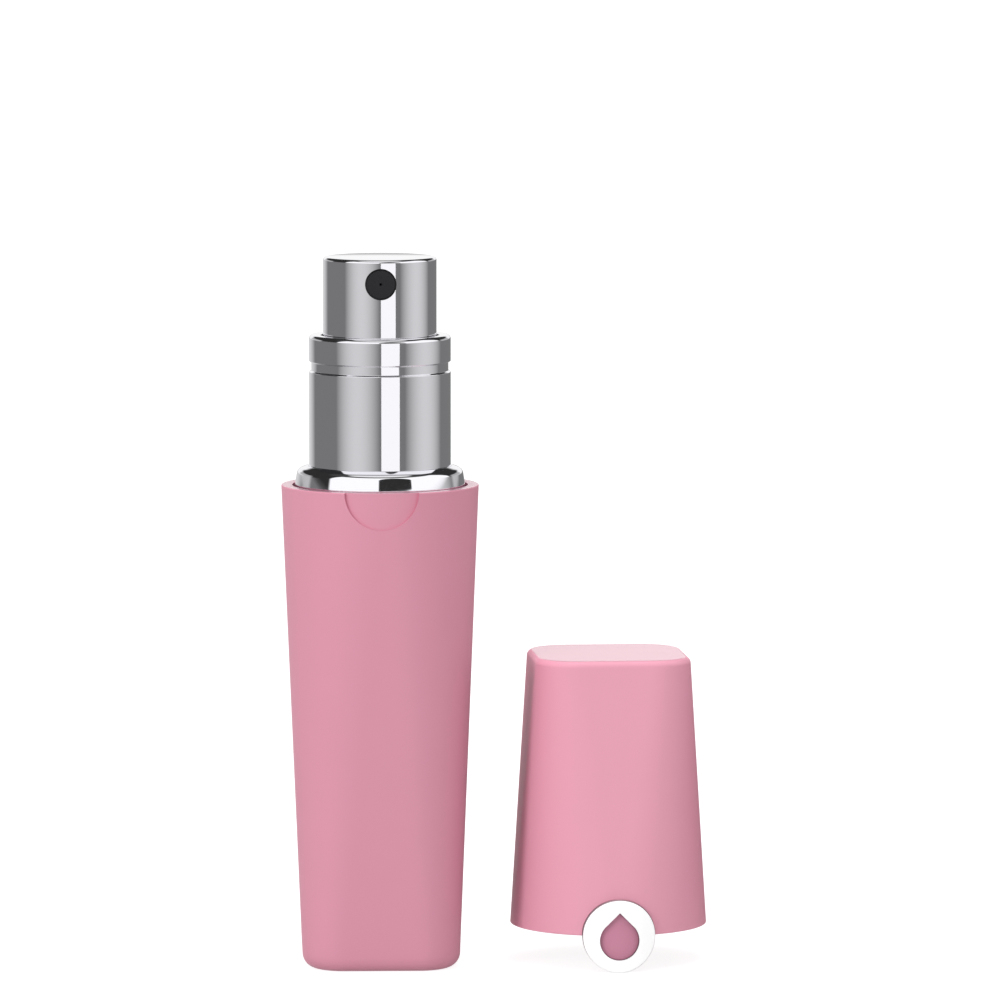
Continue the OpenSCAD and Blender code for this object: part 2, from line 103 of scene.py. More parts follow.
class AtomiserShellSettings(PropertyGroup):
    wall: length_setting("Wall", "Wall of the bottle's shell and of the cap", 1.2, 1.0, 1.4)
    base_width: length_setting("Base width", "Width across the flats of the square base", 16.7, 16, 20)
    cap_width: length_setting("Cap width", "Width across the flats of the cap's square top", 16.6, 16.5, 20)
    corner_radius: length_setting("Corner radius", "Plan radius of the square ends' corners", 4.4, 3, 6)
    base_edge: length_setting("Base edge", "Rounding of the bottle's lower edge", 1.6, 1, 2)
    cap_edge: length_setting("Cap edge", "Rounding of the cap's top edge", 0.7, 0.5, 1.8)
    recess_depth: length_setting("Recess depth", "Depth of the badge's recess at the rim", 0.35, 0.2, 0.5)
    cap_turn: FloatProperty(name="Cap turn", description="Turn of the cap about its own axis",
                            default=math.radians(4), subtype="ANGLE", unit="ROTATION")
    body_colour: colour_setting("Body colour", "Pink of the bottle's shell", (0.72, 0.302, 0.40))
    # Painted light: the cap's pink is a lighter copy of the body's pink, standing in for the brighter light on
    # the cap.
    cap_pink_painted_lighter: colour_setting("Cap colour", "Pink of the cap", (0.84, 0.37, 0.48))


class AtomiserHeadSettings(PropertyGroup):
    collar_wall: length_setting("Collar wall", "Sheet thickness of the collar", 0.4, 0.35, 0.5)
    collar_edge: length_setting("Collar edge", "Rounding of the collar's top edge", 0.45, 0.3, 0.8)
    groove_drop: length_setting("Groove drop", "Distance of the groove below the collar's top", 2.9, 2, 4)
    groove_height: length_setting("Groove height", "Height of the rolled groove", 0.9, 0.5, 1.5)
    groove_depth: length_setting("Groove depth", "Depth of the rolled groove", 0.25, 0.1, 0.35)
    button_wall: length_setting("Button wall", "Sheet thickness of the button's shell", 0.35, 0.3, 0.4)
    button_edge: length_setting("Button edge", "Rounding of the button's top edge", 0.35, 0.2, 0.8)
    chrome_colour: colour_setting("Chrome colour", "Tint of the chrome", (0.855, 0.85, 0.885))


class AtomiserBadgeSettings(PropertyGroup):
    thickness: length_setting("Thickness", "Thickness of the badge", 0.8, 0.6, 1.2)
    droplet_radius: length_setting("Droplet radius", "Radius of the round part of the droplet", 2.1, 1.2, 2.3)
    white: colour_setting("White", "Colour of the badge's disc", (0.98, 0.98, 0.98))
    # Painted shade: the inlay's pink is a darker copy of the cap's pink, standing in for the shade inside the
    # badge's window.
    inlay_pink_painted_shade: colour_setting("Inlay colour", "Colour of the droplet inlay", (0.62, 0.25, 0.36))


class AtomiserStageSettings(PropertyGroup):
    camera_turn: FloatProperty(name="Camera turn", description="Azimuth of the camera round the bottle",
                               default=math.radians(-1.8), subtype="ANGLE", unit="ROTATION")
    camera_rise: FloatProperty(name="Camera rise", description="Elevation of the camera",
                               default=math.radians(5.7), subtype="ANGLE", unit="ROTATION")
    camera_distance: length_setting("Camera distance", "Distance from the camera to the set", 900, 300, 1500)
    aim_side: length_setting("Aim side", "Sideways place of the view's centre", 11.9, 0, 30)
    aim_height: length_setting("Aim height", "Height of the view's centre", 50.1, 0, 100)
    lens: FloatProperty(name="Lens", description="Focal length in millimetres", default=310.8,
                        min=50, max=400)


# ---------------------------------------------------------------- mesh building

def make_object(name, points, faces, smooth=True):
    """A mesh object from points in metres and faces of point numbers, with outward faces."""
    mesh = bpy.data.meshes.new(name)
    mesh.from_pydata([tuple(p) for p in points], [], faces)
    mesh.validate()
    builder = bmesh.new()
    builder.from_mesh(mesh)
    bmesh.ops.recalc_face_normals(builder, faces=builder.faces)
    builder.to_mesh(mesh)
    builder.free()
    if smooth:
        mesh.shade_smooth()
    piece = bpy.data.objects.new(name, mesh)
    bpy.context.scene.collection.objects.link(piece)
    return piece


def skin(loops, closed_across):
    """Points and quads between neighbouring loops of equal length. Each loop closes on itself."""
    count = len(loops[0])
    points = [p for loop in loops for p in loop]
    rows = len(loops)
    faces = []
    for row in range(rows if closed_across else rows - 1):
        following = (row + 1) % rows
        for i in range(count):
            j = (i + 1) % count
            faces.append((row * count + i, row * count + j, following * count + j, following * count + i))
    return points, faces


def cap_with_point(points, faces, start, count, centre):
    """Closes a loop of points with a fan round one centre point."""
    points.append(centre)
    hub = len(points) - 1
    for i in range(count):
        faces.append((start + i, start + (i + 1) % count, hub))


def rounded_outline(corners, steps=6):
    """Closed outline from corners (across, up, radius). A corner with a radius is rounded by an arc."""
    outline = []
    count = len(corners)
    for i, (x, y, radius) in enumerate(corners):
        corner = Vector((x, y))
        if radius <= 0:
            outline.append(corner)
            continue
        before = Vector(corners[i - 1][:2]) - corner
        after = Vector(corners[(i + 1) % count][:2]) - corner
        half = before.angle(after) / 2
        setback = radius / math.tan(half)
        limit = 0.49 * min(before.length, after.length)
        if setback > limit:
            setback = limit
            radius = setback * math.tan(half)
        start = corner + before.normalized() * setback
        finish = corner + after.normalized() * setback
        centre = corner + (before.normalized() + after.normalized()).normalized() * (radius / math.sin(half))
        sweep = math.pi - 2 * half
        first = start - centre
        second = finish - centre
        for k in range(steps + 1):
            share = k / steps
            arm = (first * math.sin((1 - share) * sweep) + second * math.sin(share * sweep)) / math.sin(sweep)
            outline.append(centre + arm)
    return outline


def circle(radius, steps):
    """Points (across, up) of a circle about the origin."""
    turns = [math.tau * i / steps for i in range(steps)]
    return [(radius * math.cos(a), radius * math.sin(a)) for a in turns]


def lathe(name, outline, steps=256):
    """Turns a closed outline of (radius, height) about Z. Points on the axis must not be used."""
    loops = [[(x, y, height) for x, y in circle(radius, steps)] for radius, height in outline]
    points, faces = skin(loops, True)
    return make_object(name, points, faces)


def section_radius(half_width, corner_radius, angle):
    """Distance from the axis to a rounded square, in the direction of the angle."""
    turn = angle % (math.pi / 2)
    turn = min(turn, math.pi / 2 - turn)
    offset = half_width - corner_radius
    if math.tan(turn) * half_width <= offset:
        return half_width / math.cos(turn)
    along = math.cos(turn) + math.sin(turn)
    inside = corner_radius ** 2 - offset ** 2 * (1 - math.sin(2 * turn))
    return offset * along + math.sqrt(max(inside, 0.0))


def smooth_step(value):
    value = min(max(value, 0.0), 1.0)
    return value * value * (3 - 2 * value)


def front_angles():
    """Angles round a shell, closely spaced across the badge at the front."""
    front = -math.pi / 2
    reach = math.radians(27)
    fine_steps = 90
    coarse_steps = 200
    fine = [front - reach + 2 * reach * i / fine_steps for i in range(fine_steps)]
    start = front + reach
    span = math.tau - 2 * reach
    coarse = [start + span * i / coarse_steps for i in range(coarse_steps)]
    return fine + coarse


class TaperedShell:
    """Loops of a shell that runs from a rounded square end, at rise 0, to a round rim at its full height."""

    def __init__(self, height, end_width, corner_radius, edge_radius, wall):
        self.height = height
        self.end_half = end_width / 2
        self.corner = corner_radius
        self.edge = edge_radius
        self.wall = wall
        self.angles = front_angles()

    def section(self, rise, inset):
        share = (rise - self.edge) / (self.height - self.edge)
        half = self.end_half + (RIM_RADIUS - self.end_half) * share - inset
        corner = self.corner + (RIM_RADIUS - self.corner) * share - inset
        return half, corner

    def square_loop(self, half, corner, rise):
        reaches = [section_radius(half, corner, a) for a in self.angles]
        return [(r * math.cos(a), r * math.sin(a), rise) for r, a in zip(reaches, self.angles)]

    def side_loop(self, rise, inset=0.0):
        half, corner = self.section(rise, inset)
        return self.square_loop(half, corner, rise)

    def round_loop(self, radius, rise):
        return [(radius * math.cos(a), radius * math.sin(a), rise) for a in self.angles]

    def end_loop(self, turn):
        """Loop on the square end's rounded edge: turn 0 lies on the end face, a quarter turn on the side."""
        inset = self.edge * (1 - math.sin(turn))
        rise = self.edge * (1 - math.cos(turn))
        return self.square_loop(self.end_half - inset, self.corner - inset, rise)

    def outside(self, edge_steps=10, body_steps=44, fine_steps=50):
        """Loops from the end's rounded edge to the rim's top, closely spaced behind the badge."""
        loops = [self.end_loop(math.pi / 2 * i / edge_steps) for i in range(edge_steps)]
        fine_start = self.height - BADGE_RADIUS - 0.5 * MM
        lip = 0.12 * MM
        stretches = ((self.edge, fine_start, body_steps), (fine_start, self.height - lip, fine_steps))
        for low, high, steps in stretches:
            loops += [self.side_loop(low + (high - low) * i / steps) for i in range(steps)]
        lip_steps = 5
        for i in range(lip_steps + 1):
            turn = math.pi / 2 * i / lip_steps
            loops.append(self.round_loop(RIM_RADIUS - lip * (1 - math.cos(turn)),
                                         self.height - lip * (1 - math.sin(turn))))
        return loops

    def mouth(self, depth, steps=4):
        """Loops from the rim's inner edge down the inside wall to a depth below the rim."""
        inner = RIM_RADIUS - self.wall
        chamfer = 0.1 * MM
        loops = [self.round_loop(inner + chamfer, self.height),
                 self.round_loop(inner + 0.3 * chamfer, self.height - 0.3 * chamfer)]
        for i in range(1, steps + 1):
            loops.append(self.side_loop(self.height - chamfer - (depth - chamfer) * i / steps, self.wall))
        return loops


def flipped(points, height):
    """Mirrors points top to bottom, so that the square end is uppermost."""
    return [(x, y, height - z) for x, y, z in points]


def subtract(piece, cutter):
    """Cuts one closed mesh object out of another and removes the cutter."""
    cut = piece.modifiers.new("cut", "BOOLEAN")
    cut.operation = "DIFFERENCE"
    cut.solver = "EXACT"
    cut.object = cutter
    with bpy.context.temp_override(object=piece, active_object=piece):
        bpy.ops.object.modifier_apply(modifier=cut.name)
    bpy.data.objects.remove(cutter)


def wrap_on_rim(across, up, radius):
    """Point on a cylinder about Z, in front, at a sideways place and height."""
    return (across, -math.sqrt(radius ** 2 - across ** 2), up)


def cut_badge_recess(piece, floor, place):
    """Cuts the badge's round seat, down to a cylinder of the floor's radius. place moves its points."""
    steps = 180
    outline = BADGE_RADIUS + 0.06 * MM
    shares = (0.2, 0.4, 0.6, 0.8, 0.93, 1.0)

    def ring(share, surface):
        return [wrap_on_rim(across, up, surface) for across, up in circle(outline * share, steps)]

    beyond = RIM_RADIUS + MM
    loops = [ring(share, floor) for share in shares] + [ring(share, beyond) for share in reversed(shares)]
    points, faces = skin(loops, False)
    cap_with_point(points, faces, 0, steps, wrap_on_rim(0, 0, floor))
    cap_with_point(points, faces, (len(loops) - 1) * steps, steps, wrap_on_rim(0, 0, beyond))
    subtract(piece, make_object("recess_cutter", place(points), faces))


def radial_normals(piece, axis_point, radius, tolerance):
    """Gives the faces that lie on a cylinder about Z its exact normals, so that reflections stay straight."""
    mesh = piece.data
    normals = [Vector(n.vector) for n in mesh.corner_normals]
    for face in mesh.polygons:
        spots = [mesh.vertices[v].co - axis_point for v in face.vertices]
        if all(abs(math.hypot(s.x, s.y) - radius) < tolerance for s in spots):
            for corner in face.loop_indices:
                spot = mesh.vertices[mesh.loops[corner].vertex_index].co - axis_point
                outward = Vector((spot.x, spot.y, 0)).normalized()
                normals[corner] = outward if outward.dot(face.normal) > 0 else -outward
    mesh.normals_split_custom_set([tuple(n) for n in normals])


def sharpen(piece, degrees):
    """Marks edges sharper than the angle, so that smooth shading stops there."""
    piece.data.set_sharp_from_angle(angle=math.radians(degrees))


def finish_piece(piece, body, nodes, material):
    """Gives a piece its material and fixes it to its CAD body in place of the nodes."""
    piece.data.materials.clear()
    piece.data.materials.append(material)
    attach(piece, body)
    if nodes:
        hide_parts(*nodes)
    return piece


# ---------------------------------------------------------------- materials

class MaterialNodes:
    """A new node material with short ways to add and join nodes."""

    def __init__(self, name):
        self.material = bpy.data.materials.new(name)
        self.material.use_nodes = True
        self.tree = self.material.node_tree
        self.shader = self.tree.nodes["Principled BSDF"]

    def add(self, kind, **values):
        node = self.tree.nodes.new(kind)
        for key, value in values.items():
            setattr(node, key, value)
        return node

    def join(self, source, target):
        self.tree.links.new(source, target)

    def set(self, **values):
        for key, value in values.items():
            self.shader.inputs[key.replace("_", " ")].default_value = value

    def noise(self, scale, detail=3.0, roughness=0.5):
        place = self.add("ShaderNodeTexCoord")
        noise = self.add("ShaderNodeTexNoise")
        noise.inputs["Scale"].default_value = scale
        noise.inputs["Detail"].default_value = detail
        noise.inputs["Roughness"].default_value = roughness
        self.join(place.outputs["Object"], noise.inputs["Vector"])
        return noise

    def spread(self, source, low, high):
        """Maps a 0..1 value to low..high."""
        spread = self.add("ShaderNodeMapRange")
        spread.inputs["To Min"].default_value = low
        spread.inputs["To Max"].default_value = high
        self.join(source, spread.inputs["Value"])
        return spread.outputs["Result"]

    def facing(self, axis, low, high):
        """0 where the object's own normal along an axis is below low, 1 where it is above high."""
        place = self.add("ShaderNodeTexCoord")
        split = self.add("ShaderNodeSeparateXYZ")
        self.join(place.outputs["Normal"], split.inputs[0])
        part = self.add("ShaderNodeMapRange", interpolation_type="SMOOTHSTEP")
        part.inputs["From Min"].default_value = low
        part.inputs["From Max"].default_value = high
        self.join(split.outputs[axis], part.inputs["Value"])
        return part.outputs["Result"]

    def vary_colour(self, source, colour, share):
        """Base colour that drifts by a small share either side of the given colour."""
        ramp = self.add("ShaderNodeValToRGB")
        ramp.color_ramp.elements[0].color = (*[c * (1 - share) for c in colour], 1)
        ramp.color_ramp.elements[1].color = (*[min(1, c * (1 + share)) for c in colour], 1)
        self.join(source, ramp.inputs["Fac"])
        self.join(ramp.outputs["Color"], self.shader.inputs["Base Color"])

    def bump(self, source, height):
        bump = self.add("ShaderNodeBump")
        bump.inputs["Strength"].default_value = 1.0
        bump.inputs["Distance"].default_value = height
        self.join(source, bump.inputs["Height"])
        self.join(bump.outputs["Normal"], self.shader.inputs["Normal"])


def plastic_nodes(name, colour, roughness, grain=0.002 * MM, drift=0.02, spread=0.05, index=1.49):
    """Injection-moulded plastic with a fine spark-eroded grain and slight flow marks."""
    made = MaterialNodes(name)
    flow = made.noise(120, detail=2)
    made.vary_colour(flow.outputs["Fac"], colour, drift)
    erosion = made.noise(5200, detail=4, roughness=0.6)
    made.join(made.spread(erosion.outputs["Fac"], roughness - spread, roughness + spread),
              made.shader.inputs["Roughness"])
    made.bump(erosion.outputs["Fac"], grain)
    made.set(IOR=index)
    return made


def moulded_plastic(name, colour, roughness, **finish):
    return plastic_nodes(name, colour, roughness, **finish).material


def satin_pink(name, colour):
    """Soft-touch satin plastic of the shell and cap. Its flat upper faces are lacquered."""
    made = plastic_nodes(name, colour, 0.46, grain=0.0012 * MM, drift=0.012, spread=0.04, index=1.43)
    made.join(made.facing("Z", 0.9, 0.998), made.shader.inputs["Coat Weight"])
    made.set(Coat_Roughness=0.2, Coat_IOR=2.0)
    return made.material


def painted_light_sheet(name, colour):
    """Sheet whose front face glows a little, a painted glow, and whose side edges are darkened to a grey pink,
    a painted shade.
    """
    made = MaterialNodes(name)
    front = made.facing("Y", -0.45, -0.6)
    # Painted shade: faces turned away from the front get a dark grey pink in place of the badge's white.
    painted_edge_shade_ramp = made.add("ShaderNodeValToRGB")
    painted_edge_shade_ramp.color_ramp.elements[0].color = (0.30, 0.26, 0.27, 1)
    painted_edge_shade_ramp.color_ramp.elements[1].color = (*colour, 1)
    made.join(front, painted_edge_shade_ramp.inputs["Fac"])
    made.join(painted_edge_shade_ramp.outputs["Color"], made.shader.inputs["Base Color"])
    # Painted glow: the front face emits a little light of its own, though the badge is no lamp.
    made.join(made.spread(front, 0.0, 0.16), made.shader.inputs["Emission Strength"])
    grain = made.noise(4000, detail=4)
    made.join(made.spread(grain.outputs["Fac"], 0.25, 0.33), made.shader.inputs["Roughness"])
    made.bump(grain.outputs["Fac"], 0.0006 * MM)
    made.set(IOR=1.49, Emission_Color=(1, 1, 1, 1))
    return made.material


def chrome_plate(name, colour):
    """Bright plated metal, with faint polishing haze."""
    made = MaterialNodes(name)
    haze = made.noise(900, detail=5, roughness=0.65)
    made.vary_colour(haze.outputs["Fac"], colour, 0.01)
    made.join(made.spread(haze.outputs["Fac"], 0.03, 0.055), made.shader.inputs["Roughness"])
    made.set(Metallic=1.0)
    return made.material


def drawn_wire(name, colour):
    """Drawn steel wire with fine scratches."""
    made = MaterialNodes(name)
    scratches = made.noise(3000, detail=6, roughness=0.7)
    made.vary_colour(scratches.outputs["Fac"], colour, 0.06)
    made.join(made.spread(scratches.outputs["Fac"], 0.22, 0.36), made.shader.inputs["Roughness"])
    made.set(Metallic=1.0)
    made.bump(scratches.outputs["Fac"], 0.002 * MM)
    return made.material


def clear_plastic(name, colour, alpha, roughness):
    """Clear or milky plastic."""
    made = MaterialNodes(name)
    cloud = made.noise(400, detail=2)
    made.vary_colour(cloud.outputs["Fac"], colour, 0.02)
    made.join(made.spread(cloud.outputs["Fac"], roughness, roughness + 0.06), made.shader.inputs["Roughness"])
    made.set(IOR=1.5, Alpha=alpha)
    return made.material


def soft_rubber(name, colour):
    """Moulded elastomer with a dusty surface."""
    made = MaterialNodes(name)
    dust = made.noise(2400, detail=5, roughness=0.7)
    made.vary_colour(dust.outputs["Fac"], colour, 0.15)
    made.join(made.spread(dust.outputs["Fac"], 0.62, 0.8), made.shader.inputs["Roughness"])
    made.bump(dust.outputs["Fac"], 0.004 * MM)
    return made.material


# ---------------------------------------------------------------- operators: shells and cap

class ATOMISER_OT_shell(Operator):
    """Build the bottle's tapering shell with its badge recess"""
    bl_idname = "atomiser.shell"
    bl_label = "Bottle Shell"

    def execute(self, context):
        sizes = context.scene.atomiser_shell
        form = TaperedShell(BODY_HEIGHT, sizes.base_width, sizes.corner_radius, sizes.base_edge, sizes.wall)
        floor_thickness = 1.4 * MM
        valve_step = 0.6 * MM
        valve_play = 0.1 * MM
        hole_chamfer = 0.15 * MM
        hole_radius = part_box("valve_housing")[1].x - valve_step + valve_play
        ledge_top = TANK_TOP - 7.5 * MM
        ledge_bottom = ledge_top - 1.0 * MM
        tank_room = 7.4 * MM
        loops = [form.round_loop(hole_radius, hole_chamfer), form.round_loop(hole_radius + hole_chamfer, 0.0)]
        loops += form.outside()
        loops += form.mouth(BODY_HEIGHT - ledge_top)
        loops += [form.round_loop(tank_room, ledge_top), form.round_loop(tank_room, ledge_bottom)]
        inner_steps = 12
        for i in range(inner_steps + 1):
            rise = ledge_bottom + (floor_thickness - ledge_bottom) * i / inner_steps
            loops.append(form.side_loop(rise, sizes.wall))
        loops.append(form.round_loop(hole_radius, floor_thickness))
        points, faces = skin(loops, True)
        piece = make_object("shell", points, faces)
        cut_badge_recess(piece, RIM_RADIUS - sizes.recess_depth,
                         lambda spots: [(x, y, z + BODY_HEIGHT) for x, y, z in spots])
        sharpen(piece, 50)
        pink = satin_pink("shell pink", sizes.body_colour)
        finish_piece(piece, "bottle", ["outer_shell"], pink)
        return {"FINISHED"}


class ATOMISER_OT_cap(Operator):
    """Build the tapering cap"""
    bl_idname = "atomiser.cap"
    bl_label = "Cap"

    def execute(self, context):
        sizes = context.scene.atomiser_shell
        form = TaperedShell(CAP_HEIGHT, sizes.cap_width, sizes.corner_radius, sizes.cap_edge, sizes.wall)
        outside = form.outside(edge_steps=14, body_steps=36)
        first = outside[0]
        crown = [[(x * share, y * share, 0.0) for x, y, z in first] for share in (0.25, 0.5, 0.75, 0.93)]
        mouth_depth = 4 * MM
        loops = crown + outside + form.mouth(mouth_depth)
        inner_steps = 12
        deepest = sizes.wall
        for i in range(1, inner_steps + 1):
            rise = form.height - mouth_depth + (deepest - form.height + mouth_depth) * i / inner_steps
            loops.append(form.side_loop(rise, sizes.wall))
        last = loops[-1]
        loops += [[(x * share, y * share, z) for x, y, z in last] for share in (0.8, 0.5, 0.25)]
        points, faces = skin(loops, False)
        count = len(form.angles)
        cap_with_point(points, faces, 0, count, (0, 0, 0))
        cap_with_point(points, faces, (len(loops) - 1) * count, count, (0, 0, deepest))
        piece = make_object("cap", place_on_cap(flipped(points, form.height), sizes.cap_turn), faces)
        cut_badge_recess(piece, RIM_RADIUS - sizes.recess_depth + 0.05 * MM,
                         lambda spots: place_on_cap(spots, sizes.cap_turn))
        sharpen(piece, 50)
        # The cap's pink carries painted light: it is a lighter copy of the body's pink.
        finish_piece(piece, "cap", ["cap_shell"], satin_pink("cap pink", sizes.cap_pink_painted_lighter))
        return {"FINISHED"}


def place_on_cap(points, turn):
    """Moves points from the cap's own frame, with its rim's centre at the origin, to where the cap stands."""
    cos, sin = math.cos(turn), math.sin(turn)
    return [(CAP_AXIS.x + x * cos - y * sin, CAP_AXIS.y + x * sin + y * cos, CAP_AXIS.z + z)
            for x, y, z in points]


class ATOMISER_OT_liner(Operator):
    """Build the liner that grips the collar"""
    bl_idname = "atomiser.liner"
    bl_label = "Cap Liner"

    def execute(self, context):
        inner = COLLAR_HIGH.x + 0.1 * MM
        outer = inner + 0.6 * MM
        flange = LINER_HIGH.x - CAP_AXIS.x
        low, high = LINER_LOW.z, LINER_HIGH.z
        soft = 0.15 * MM
        corners = [(inner, low, 2 * soft), (flange, low, soft), (flange, low + 0.8 * MM, soft),
                   (outer, low + 0.8 * MM, soft), (outer, high, soft), (inner, high, soft)]
        piece = lathe("liner", rounded_outline(corners))
        for vertex in piece.data.vertices:
            vertex.co += Vector((CAP_AXIS.x, CAP_AXIS.y, 0))
        sharpen(piece, 50)
        white = moulded_plastic("liner white", (0.80, 0.80, 0.78), 0.4)
        finish_piece(piece, "cap", ["cap_liner"], white)
        return {"FINISHED"}


# ---------------------------------------------------------------- operators: badge

def droplet_radius(angle, radius):
    """Distance from the droplet's round centre to its outline. The tip is straight up."""
    from_tip = abs((angle - math.pi / 2 + math.pi) % math.tau - math.pi)
    straight = math.pi / 4
    return radius / math.cos(straight - from_tip) if from_tip < straight else radius


def droplet_loop(droplet, share, badge_radius, drop, surface, steps=192):
    """Loop between the droplet's outline, share 0, and the badge's edge, share 1, on a cylinder."""
    loop = []
    for i in range(steps):
        angle = math.tau * i / steps
        inner = droplet_radius(angle, droplet)
        inner_point = Vector((inner * math.cos(angle), inner * math.sin(angle) - drop))
        outer_point = Vector((badge_radius * math.cos(angle), badge_radius * math.sin(angle)))
        spot = inner_point.lerp(outer_point, share)
        loop.append(wrap_on_rim(spot.x, spot.y, surface))
    return loop


class ATOMISER_OT_badge(Operator):
    """Build the round badge with its droplet window and inlay"""
    bl_idname = "atomiser.badge"
    bl_label = "Badge"

    def execute(self, context):
        sizes = context.scene.atomiser_badge
        shell = context.scene.atomiser_shell
        back = RIM_RADIUS - shell.recess_depth + 0.05 * MM
        front = back + sizes.thickness
        drop = sizes.droplet_radius * (math.sqrt(2) - 1) / 2
        edge = 0.12 * MM
        arc_steps = 5

        def loop(outline, share, surface, radius):
            return droplet_loop(outline, share, radius, drop, surface)

        def edge_arc(turn):
            return edge * (1 - math.cos(turn)), edge * (1 - math.sin(turn))

        droplet = sizes.droplet_radius
        loops = []
        for i in range(arc_steps + 1):
            along, down = edge_arc(math.pi / 2 * (1 - i / arc_steps))
            loops.append(loop(droplet + edge - along, 0, front - edge + (edge - down), BADGE_RADIUS))
        loops.reverse()
        window = [loop(droplet, 0, surface, BADGE_RADIUS) for surface in (back, front - edge)]
        rows = 10
        face = [loop(droplet + edge, i / rows, front, BADGE_RADIUS - edge) for i in range(1, rows)]
        rim = []
        for i in range(arc_steps + 1):
            along, down = edge_arc(math.pi / 2 * i / arc_steps)
            rim.append(loop(droplet, 1, front - along, BADGE_RADIUS - down))
        ending = [loop(droplet, 1, back, BADGE_RADIUS)]
        points, faces = skin(window + loops + face + rim + ending, True)
        piece = make_object("badge", place_on_cap(points, shell.cap_turn), faces)
        sharpen(piece, 50)
        # The badge's material carries a painted glow on its face and painted shade on its edges.
        finish_piece(piece, "cap", ["badge_disc"], painted_light_sheet("badge white", sizes.white))
        self.build_inlay(sizes, shell, back, drop)
        return {"FINISHED"}

    def build_inlay(self, sizes, shell, back, drop):
        top = back + 0.4 * MM
        shoulder = top - 0.02 * MM
        crown = 0.08 * MM
        steps = 192
        loops = []
        outline = sizes.droplet_radius - 0.01 * MM
        for surface in (back, top - 0.06 * MM):
            loops.append(droplet_loop(outline, 0, BADGE_RADIUS, drop, surface, steps))
        for share in (0.985, 0.95, 0.85, 0.65, 0.4, 0.18):
            lift = crown * (1 - share ** 2)
            loops.append([wrap_on_rim(x * share, -drop + (z + drop) * share, shoulder + lift)
                          for x, y, z in loops[0]])
        points, faces = skin(loops, False)
        cap_with_point(points, faces, 0, steps, wrap_on_rim(0, -drop, back))
        peak = wrap_on_rim(0, -drop, shoulder + crown)
        cap_with_point(points, faces, (len(loops) - 1) * steps, steps, peak)
        piece = make_object("droplet_inlay", place_on_cap(points, shell.cap_turn), faces)
        sharpen(piece, 50)
        # The inlay's darker pink is painted shade for the recessed window.
        pink = satin_pink("inlay pink", sizes.inlay_pink_painted_shade)
        finish_piece(piece, "cap", ["badge_inlay"], pink)


# ---------------------------------------------------------------- operators: chrome head

class ATOMISER_OT_collar(Operator):
    """Build the collar tube with its rolled groove, and the flared ring round its foot"""
    bl_idname = "atomiser.collar"
    bl_label = "Collar and Ring"

    def execute(self, context):
        sizes = context.scene.atomiser_head
        chrome = chrome_plate("chrome", sizes.chrome_colour)
        self.build_sleeve(sizes, chrome)
        self.build_ring(chrome)
        return {"FINISHED"}

    def build_sleeve(self, sizes, chrome):
        outer = COLLAR_HIGH.x
        inner = outer - sizes.collar_wall
        top, low = COLLAR_HIGH.z, COLLAR_LOW.z
        groove_top = top - sizes.groove_drop
        groove_low = groove_top - sizes.groove_height
        floor = outer - sizes.groove_depth
        lip = BUTTON_HIGH.x + 0.25 * MM
        slope = 0.1 * MM
        bend = 0.1 * MM
        corners = [
            (inner, low, 0.1 * MM), (outer, low, 0.15 * MM), (outer, groove_low - slope, bend),
            (floor, groove_low, bend / 2), (floor, groove_top, bend / 2), (outer, groove_top + slope, bend),
            (outer, top, sizes.collar_edge), (lip, top, 0.12 * MM), (lip, top - sizes.collar_wall, 0.1 * MM),
            (inner, top - sizes.collar_wall, 0.2 * MM), (inner, groove_top + slope, bend),
            (inner - sizes.groove_depth, groove_top, bend / 2),
            (inner - sizes.groove_depth, groove_low, bend / 2), (inner, groove_low - slope, bend)]
        piece = lathe("collar", rounded_outline(corners, 8), 320)
        finish_piece(piece, "bottle", ["collar_sleeve"], chrome)

    def build_ring(self, chrome):
        crown = RING_HIGH.z
        outer = RING_HIGH.x
        bore = COLLAR_HIGH.x + 0.02 * MM
        rim = BODY_HEIGHT
        skirt = outer - 0.03 * MM
        wall = 0.5 * MM
        corners = [
            (bore, crown - 0.12 * MM, 0.0), (bore + 0.15 * MM, crown, 0.12 * MM),
            (outer - 0.26 * MM, crown - 0.4 * MM, 0.75 * MM), (outer, rim + 0.1 * MM, 0.1 * MM),
            (outer, rim - 0.3 * MM, 0.1 * MM), (skirt, rim - 0.5 * MM, 0.0),
            (skirt, RING_LOW.z, 0.1 * MM), (skirt - wall, RING_LOW.z, 0.1 * MM),
            (skirt - wall, rim + 0.3 * MM, 0.2 * MM), (outer - 0.7 * MM, crown - 1.0 * MM, 0.3 * MM),
            (bore, crown - 0.75 * MM, 0.0)]
        piece = lathe("shoulder_ring_finish", rounded_outline(corners, 10), 320)
        finish_piece(piece, "bottle", ["shoulder_ring"], chrome)


